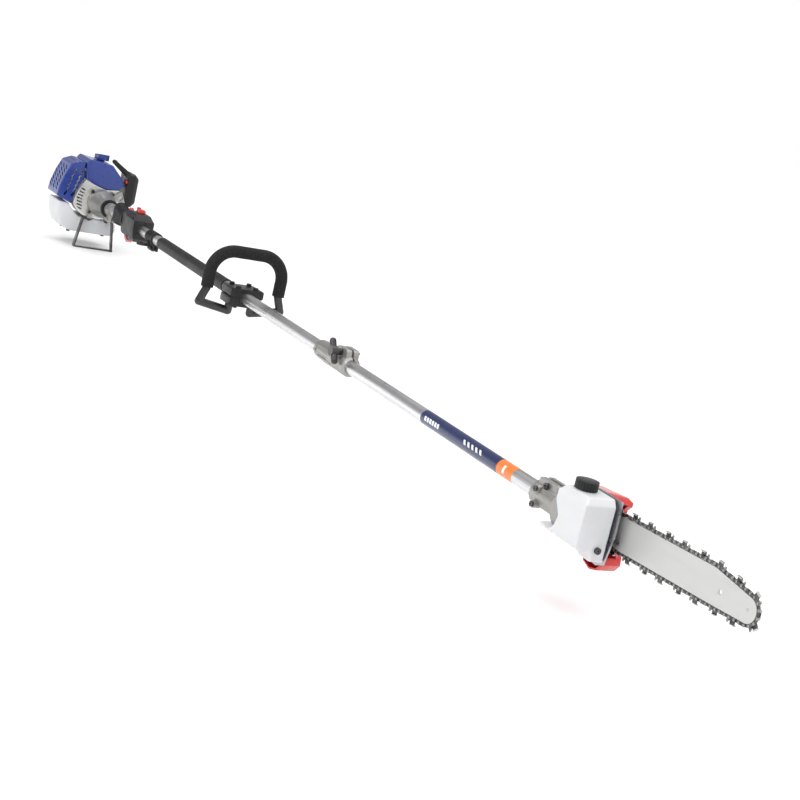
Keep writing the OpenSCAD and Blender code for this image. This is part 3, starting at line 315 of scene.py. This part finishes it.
def foam_material():
    """Closed-cell foam with small open pores on its skin."""
    tree = Tree("black_foam")
    tree.to("Base Color", tree.ramp(tree.noise(160), (0.005, 0.005, 0.0055), (0.013, 0.013, 0.0135)))
    tree.set(roughness=0.85, sheen_weight=0.04, sheen_roughness=0.5, specular_ior_level=0.3)
    tree.bump(tree.cells(900), 0.00018, 0.8)
    tree.bump(tree.noise(70), 0.0004, 0.5)
    return tree.material


def rubber_material(name="black_rubber"):
    tree = Tree(name)
    tree.to("Base Color", tree.ramp(tree.noise(90), (0.006, 0.006, 0.006), (0.013, 0.013, 0.013)))
    tree.to("Roughness", tree.remap(tree.noise(30), 0.36, 0.5))
    tree.set(specular_ior_level=0.4)
    tree.bump(tree.noise(700, detail=2), 0.00004)
    return tree.material


def bar_material():
    """Grey satin lacquer, rubbed to bright steel along the rails."""
    tree = Tree("bar_lacquer")
    tree.set(metallic=0.55)
    lacquer = tree.ramp(tree.noise(30, stretch=(0.3, 1, 1)), shade(BAR_GREY, 0.93), shade(BAR_GREY, 1.07))
    tree.to("Base Color", tree.mix(tree.edges(0.5, 0.58), lacquer, (0.55, 0.55, 0.54)))
    tree.to("Roughness", tree.remap(tree.noise(120, stretch=(0.1, 1, 1)), 0.34, 0.46))
    tree.bump(tree.noise(500, stretch=(0.05, 1, 1)), 0.00003, 0.6)
    return tree.material


def chain_material():
    """Oiled blued steel, brighter where the links rub."""
    tree = Tree("oiled_chain")
    tree.set(metallic=0.9)
    blued = tree.ramp(tree.noise(160), (0.05, 0.05, 0.055), (0.14, 0.14, 0.14))
    tree.to("Base Color", tree.mix(tree.edges(0.5, 0.6), blued, (0.5, 0.49, 0.47)))
    tree.to("Roughness", tree.remap(tree.noise(200), 0.25, 0.48))
    return tree.material


def steel_material(name, colour=(0.55, 0.55, 0.56), roughness=0.3, stretch=(1, 1, 1)):
    """Turned or ground steel with fine tool lines."""
    tree = Tree(name)
    tree.set(metallic=1.0)
    lines = tree.noise(380, detail=2, stretch=stretch)
    tree.to("Base Color", tree.ramp(lines, shade(colour, 0.85), shade(colour, 1.1)))
    tree.to("Roughness", tree.remap(tree.noise(60), roughness - 0.07, roughness + 0.09))
    tree.bump(lines, 0.00002, 0.5)
    return tree.material


SLOT_MATERIALS = {}


def make_materials():
    SLOT_MATERIALS.update({
        "blue_plastic": material("blue_gloss", ROYAL_BLUE, roughness=0.3, vary=0.05, coat=0.35,
                                 grain=60, grain_depth=0.0001),
        "cast_case": cast_material("die_casting", CAST_GREY),
        "cylinder_metal": cast_material("cylinder_casting", (0.25, 0.25, 0.25), 0.5),
        "muffler_steel": steel_material("muffler_sheet", (0.86, 0.85, 0.82), 0.34),
        "bearing_steel": steel_material("bearing_steel", (0.7, 0.7, 0.7), 0.14),
        "shaft_steel": steel_material("shaft_steel", (0.5, 0.5, 0.51), 0.28),
        "ceramic": material("white_ceramic", (0.86, 0.85, 0.82), roughness=0.12, vary=0.02),
        "coil_plastic": material("coil_resin", (0.02, 0.02, 0.02), roughness=0.5, grain=300),
        "flywheel_metal": cast_material("flywheel_casting", (0.55, 0.55, 0.56), 0.4),
        "clutch_lining": material("clutch_lining", (0.16, 0.10, 0.07), roughness=0.8, vary=0.25, grain=300,
                                  grain_depth=0.0002),
        "black_plastic": material("black_moulding", BLACK, roughness=0.36, vary=0.15, grain=650,
                                  grain_depth=0.00004, wear=(0.02, 0.02, 0.02), specular_ior_level=0.3),
        "filter_foam": material("filter_foam", (0.30, 0.22, 0.12), roughness=0.95, vary=0.2, grain=500,
                                grain_depth=0.0006),
        "red_plastic": material("red_moulding", RED, roughness=0.26, vary=0.06, coat=0.4, grain=80,
                                grain_depth=0.00008),
        "white_plastic": tank_material("milky_tank", MILK),
        "black_rubber": rubber_material(),
        "black_steel": material("black_enamel", (0.010, 0.010, 0.011), roughness=0.3, vary=0.1, coat=0.3,
                                grain=260, grain_depth=0.00003, wear=(0.03, 0.03, 0.03),
                                specular_ior_level=0.4),
        "tube_metal": tube_material(),
        "bush_plastic": material("bush_plastic", (0.05, 0.05, 0.05), roughness=0.6, grain=200),
        "plate_steel": steel_material("zinc_plate", (0.42, 0.43, 0.45), 0.32),
        "bar_steel": bar_material(),
        "chain_steel": chain_material(),
        "pale_rim": cast_material("machined_rim", PALE_CAST, 0.3),
        "pale_casting": cast_material("pale_casting", (0.50, 0.50, 0.485), 0.4),
        "loop_foam": foam_material(),
        "navy_film": material("navy_film", NAVY, roughness=0.25, vary=0.05, coat=0.4, grain=200),
        "orange_film": material("orange_film", (0.80, 0.20, 0.03), roughness=0.28, vary=0.05, coat=0.3, grain=200),
        "white_film": material("white_film", (0.85, 0.85, 0.85), roughness=0.3, vary=0.03),
    })


def paint_nodes():
    for part in frame["record"]["subparts"]:
        mesh = NODES[part["node"]].data
        mesh.materials.clear()
        mesh.materials.append(SLOT_MATERIALS[part["material_slot"]])


def repaint(node, made):
    mesh = NODES[node].data
    mesh.materials.clear()
    mesh.materials.append(made)


# ---------- detailed pieces ----------

def body_of(node):
    """Name of the body that a CAD node belongs to."""
    return NODES[node]["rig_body"]


def slot_of(node):
    return next(p["material_slot"] for p in frame["record"]["subparts"] if p["node"] == node)


def settle(piece, node, replaces=True):
    """Puts a new piece on its CAD node's body, in that node's place if it replaces it."""
    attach(piece, body_of(node))
    if replaces:
        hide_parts(node)
    return piece


def smooth_by_angle(mesh, degrees=35):
    mesh.shade_smooth()
    mesh.set_sharp_from_angle(angle=math.radians(degrees))


def apply_modifiers(piece):
    graph = bpy.context.evaluated_depsgraph_get()
    mesh = bpy.data.meshes.new_from_object(piece.evaluated_get(graph))
    piece.modifiers.clear()
    piece.data = mesh
    return piece


def rounded(node, radius, segments=3, angle=28, name=None):
    """A copy of a CAD node with its edges rounded, in the node's place."""
    source = NODES[node]
    mesh = source.data.copy()
    work = bmesh.new()
    work.from_mesh(mesh)
    bmesh.ops.remove_doubles(work, verts=work.verts, dist=0.00002)
    bmesh.ops.dissolve_limit(work, angle_limit=math.radians(1.0), verts=work.verts, edges=work.edges)
    work.to_mesh(mesh)
    work.free()
    piece = bpy.data.objects.new(name or node + "_moulding", mesh)
    bpy.context.scene.collection.objects.link(piece)
    bevel = piece.modifiers.new("bevel", "BEVEL")
    bevel.width = radius
    bevel.segments = segments
    bevel.limit_method = "ANGLE"
    bevel.angle_limit = math.radians(angle)
    bevel.miter_outer = "MITER_ARC"
    bevel.use_clamp_overlap = True
    apply_modifiers(piece)
    smooth_by_angle(piece.data, 40)
    return settle(piece, node)


# The shaft's own frame: x = 0 is the clutch housing's face, and the upper tube starts TUBE_START ahead of it
TUBE_START = 34
tube_low, tube_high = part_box("upper_tube")
SHAFT = Vector((tube_low.x - TUBE_START * MM, 0, (tube_low.z + tube_high.z) / 2))


def at(x, y, z):
    """Point in the row frame from millimetres in the shaft's frame."""
    return SHAFT + Vector((x, y, z)) * MM


def mesh_piece(name, verts, faces):
    mesh = bpy.data.meshes.new(name)
    mesh.from_pydata([tuple(v) for v in verts], [], faces)
    work = bmesh.new()
    work.from_mesh(mesh)
    bmesh.ops.recalc_face_normals(work, faces=work.faces)
    work.to_mesh(mesh)
    work.free()
    piece = bpy.data.objects.new(name, mesh)
    bpy.context.scene.collection.objects.link(piece)
    return piece


def extruded(name, outline, start, stop, axis="x"):
    """Prism between two stations along x, y or z; the outline holds the other two coordinates in order."""
    order = {"x": lambda s, p: at(s, *p), "y": lambda s, p: at(p[0], s, p[1]), "z": lambda s, p: at(*p, s)}[axis]
    count = len(outline)
    verts = [order(start, p) for p in outline] + [order(stop, p) for p in outline]
    faces = [tuple(range(count)), tuple(range(count, 2 * count))]
    faces += [(i, (i + 1) % count, count + (i + 1) % count, count + i) for i in range(count)]
    return mesh_piece(name, verts, faces)


def box_piece(name, low, high):
    return extruded(name, [(low[0], low[1]), (high[0], low[1]), (high[0], high[1]), (low[0], high[1])],
                    low[2], high[2], "z")


def circle_outline(centre, radius, count=32):
    return [(centre[0] + radius * math.cos(2 * math.pi * i / count),
             centre[1] + radius * math.sin(2 * math.pi * i / count)) for i in range(count)]


def combine(piece, others, operation="DIFFERENCE"):
    """Cuts the others out of a piece, or joins them to it, and removes them."""
    for other in others:
        modifier = piece.modifiers.new("combine", "BOOLEAN")
        modifier.operation = operation
        modifier.solver = "EXACT"
        modifier.object = other
    apply_modifiers(piece)
    for other in others:
        bpy.data.objects.remove(other)
    return piece


def soften(piece, voxel, rounds):
    """Blow-moulded or cast form: the same solid with every edge rounded by smoothing a fine remesh."""
    remesh = piece.modifiers.new("remesh", "REMESH")
    remesh.mode = "VOXEL"
    remesh.voxel_size = voxel * MM
    smooth = piece.modifiers.new("smooth", "SMOOTH")
    smooth.factor = 0.5
    smooth.iterations = rounds
    return apply_modifiers(piece)


def finish_piece(piece, node, paint=None, replaces=True, degrees=40):
    piece.data.materials.clear()
    piece.data.materials.append(paint or SLOT_MATERIALS[slot_of(node)])
    smooth_by_angle(piece.data, degrees)
    return settle(piece, node, replaces)


def turned(piece, centre, axis, degrees):
    """Turns a piece's mesh about an axis through a point."""
    turn = Matrix.Rotation(math.radians(degrees), 4, axis)
    piece.data.transform(Matrix.Translation(centre) @ turn @ Matrix.Translation(-centre))
    return piece


# Engine covers, as (y, z) outlines across the shaft
SHROUD_OUTLINE = [(-56, 104), (-48, 114), (-26, 111), (17, 108), (44, 81), (58, 62), (55, 50), (43, 41.5),
                  (10, 37.5), (-22, 46.5), (-50, 58)]
GUARD_OUTLINE = [(-121, 0), (-119, 24), (-109, 60), (-95, 93), (-70, 104), (-57, 103), (-53, 59), (-66, 33),
                 (-77, 1), (-77, -17)]
FAN_OUTLINE = [(-74, 1), (-74, -15), (-62, -30), (-44, -41), (0, -47), (36, -41), (57, -14), (60, 18),
               (54, 38), (43, 41), (10, 37), (-22, 46), (-50, 57), (-63, 32)]
TANK_OUTLINE = [(-111, -14), (-82, -16), (-73, -28), (-50, -49), (50, -50), (60, -58), (62, -78), (50, -92),
                (-68, -92), (-95, -82), (-107, -52)]


def inset(outline, by):
    """An outline moved inwards by a distance, each corner towards the middle."""
    middle = [sum(p[i] for p in outline) / len(outline) for i in (0, 1)]
    moved = []
    for p in outline:
        away = math.hypot(p[0] - middle[0], p[1] - middle[1])
        moved.append(tuple(middle[i] + (p[i] - middle[i]) * (1 - by / away) for i in (0, 1)))
    return moved


def slot_cutter(centre, length, width, depth, axis, tilt):
    """Slanted slot with round ends, cut along x or y."""
    half = length / 2 - width / 2
    outline = []
    for side, start in ((1, -90), (-1, 90)):
        for step in range(7):
            turn = math.radians(start + step * 30)
            along, across = side * half + width / 2 * math.cos(turn), width / 2 * math.sin(turn)
            spin = math.radians(tilt)
            outline.append((along * math.cos(spin) - across * math.sin(spin),
                            along * math.sin(spin) + across * math.cos(spin)))
    x, y, z = centre
    if axis == "y":
        return extruded("slot", [(x + u, z + v) for u, v in outline], y - depth / 2, y + depth / 2, "y")
    return extruded("slot", [(y + u, z + v) for u, v in outline], x - depth / 2, x + depth / 2, "x")


def make_shroud():
    shroud = soften(extruded("cylinder_shroud_moulding", SHROUD_OUTLINE, -142, -26), 1.5, 12)
    cutters = [
        extruded("inside", inset(SHROUD_OUTLINE, 3.2), -143, -29.5),
        box_piece("bottom", (-143, -60, 30), (-33, 52, 60)),
        box_piece("muffler_side", (-139.5, -60, 59), (-38.5, -44, 100)),
        extruded("plug_hole", circle_outline((-97, 0), 12), 98, 118, "z"),
        box_piece("carburettor_side", (-118, 30, 30), (-64, 62, 74)),
    ]
    finish_piece(combine(shroud, cutters), "cylinder_shroud")


def make_guard():
    guard = soften(extruded("muffler_guard_moulding", GUARD_OUTLINE, -142, -36), 1.5, 12)
    cutters = [
        extruded("inside", inset(GUARD_OUTLINE, 3.2), -139.5, -39),
        box_piece("cylinder_side", (-139.5, -80, 14), (-38.5, -40, 100)),
    ]
    for column in range(3):
        for row in range(7):
            cutters.append(slot_cutter((-122 + 30 * column, -100 - 1.5 * row, 18 + 10 * row), 22, 5, 60, "y", -22))
    for column in range(2):
        for row in range(6):
            cutters.append(slot_cutter((-38, -99 + 20 * column + 3.2 * row, 10 + 13 * row), 13, 5, 14, "x", 62))
    finish_piece(combine(guard, cutters), "muffler_guard")


def make_fuel_tank():
    tank = extruded("fuel_tank_moulding", TANK_OUTLINE, -150, -42)
    neck = extruded("neck", circle_outline((-20, -71), 15), -158, -148)
    soften(combine(tank, [neck], "UNION"), 1.8, 20)
    finish_piece(tank, "fuel_tank", degrees=80)


def make_fan_rim():
    """Machined pale rim along the fan case's edge, beside the blue covers."""
    rim = extruded("fan_case_rim", FAN_OUTLINE, -31, -28.6)
    inside = extruded("inside", inset(FAN_OUTLINE, 4), -32, -27)
    combine(rim, [inside])
    finish_piece(rim, "fan_case", SLOT_MATERIALS["pale_rim"], replaces=False)


OIL_FRONT = [(-46, -20), (-46, 40), (-38, 50), (7, 50), (7, -42), (-16, -42), (-20, -28), (-38, -28)]
OIL_SIDE = [(2404, -6), (2408, -24), (2440, -29), (2472, -30), (2480, -43), (2508, -43), (2508, 40),
            (2500, 51), (2446, 51), (2436, 40), (2436, 24), (2450, 4), (2444, -14), (2430, -25)]


def make_oil_tank():
    tank = extruded("oil_tank_moulding", OIL_FRONT, 2400, 2508)
    side = extruded("side", OIL_SIDE, -46, 9, "y")
    combine(tank, [side], "INTERSECT")
    neck = extruded("neck", circle_outline((2466, -22), 14), 46, 57, "z")
    combine(tank, [neck], "UNION")
    notch = extruded("notch", circle_outline((2420, 0), 22.6), -60, 20, "y")
    tube_room = extruded("tube_room", circle_outline((0, 0), 20.6), 2390, 2412)
    combine(tank, [notch, tube_room])
    soften(tank, 1.2, 18)
    finish_piece(tank, "oil_tank", degrees=80)


BAND_START, BAND_END, TRIM_END = 1963, 2221, 2267
LABEL_R = 13.06
MARK_R = 13.14


def arc_plate(x0, x1, a0, a1, r_in, r_out, slant=0.0, steps=10):
    """Vertices and faces of a thin plate wrapped round the tube between two angles, in degrees from +Z to -Y."""
    verts, faces = [], []
    for i in range(steps + 1):
        share = i / steps
        turn = math.radians(a0 + (a1 - a0) * share)
        shift = slant * (share - 0.5)
        for x, r in ((x0, r_in), (x1, r_in), (x1, r_out), (x0, r_out)):
            verts.append(at(x + shift, -r * math.sin(turn), r * math.cos(turn)))
    for i in range(steps):
        for k in range(4):
            faces.append((4 * i + k, 4 * i + (k + 1) % 4, 4 * i + 4 + (k + 1) % 4, 4 * i + 4 + k))
    faces += [(0, 1, 2, 3), (4 * steps, 4 * steps + 1, 4 * steps + 2, 4 * steps + 3)]
    return verts, faces


def sleeve(name, x0, x1, r_out, steps=64):
    verts, faces = [], []
    for i in range(steps):
        turn = 2 * math.pi * i / steps
        for x, r in ((x0, 13.0), (x1, 13.0), (x1, r_out), (x0, r_out)):
            verts.append(at(x, r * math.sin(turn), r * math.cos(turn)))
    for i in range(steps):
        j = (i + 1) % steps
        for k in range(4):
            faces.append((4 * i + k, 4 * i + (k + 1) % 4, 4 * j + (k + 1) % 4, 4 * j + k))
    return mesh_piece(name, verts, faces)


def make_band():
    """Printed film round the lower tube: navy, an orange end, and plain even white strokes with no lettering."""
    band = sleeve("navy_band", BAND_START, BAND_END, LABEL_R)
    finish_piece(band, "lower_tube", SLOT_MATERIALS["navy_film"], replaces=False)
    trim = sleeve("orange_band", BAND_END, TRIM_END, LABEL_R)
    finish_piece(trim, "lower_tube", SLOT_MATERIALS["orange_film"], replaces=False)
    plates = []
    for i in range(6):
        plates.append((BAND_START + 14 + 9 * i, BAND_START + 20 + 9 * i, 62, 96, 2))
    for i in range(5):
        plates.append((2112 + 13 * i, 2118 + 13 * i, 52, 84, 7))
    plates.append((BAND_END + 18, BAND_END + 24, 45, 105, 0))
    verts, faces = [], []
    for x0, x1, a0, a1, slant in plates:
        more, rings = arc_plate(x0, x1, a0, a1, LABEL_R, MARK_R, slant)
        faces += [tuple(len(verts) + i for i in face) for face in rings]
        verts += more
    marks = mesh_piece("band_marks", verts, faces)
    finish_piece(marks, "lower_tube", SLOT_MATERIALS["white_film"], replaces=False)


# Bevel radius, in mm, of the nodes whose CAD shape is right but whose edges are moulded or cast round
ROUNDED = {
    "plug_cap": 1.2, "air_cleaner_cover": 3.0, "air_cleaner_base": 1.0, "throttle_housing": 0.9,
    "clutch_housing": 0.8, "gear_case": 0.8, "coupler": 0.8, "shaft_clamp": 0.8, "harness_clamp": 0.6,
    "loop_clamp": 0.8, "sprocket_cover": 0.8, "oil_cap": 0.5, "stand": 0.4, "trigger": 0.8,
    "lock_lever": 0.6, "stop_switch": 0.5, "rubber_mounts": 0.8,
}

add_camera()
add_lights()
make_materials()
add_floor()
paint_nodes()
repaint("fan_case", SLOT_MATERIALS["pale_casting"])
repaint("loop_foam", SLOT_MATERIALS["loop_foam"])
make_shroud()
make_guard()
make_fuel_tank()
make_fan_rim()
make_oil_tank()
make_band()
for soft_node, radius in ROUNDED.items():
    rounded(soft_node, radius * MM)
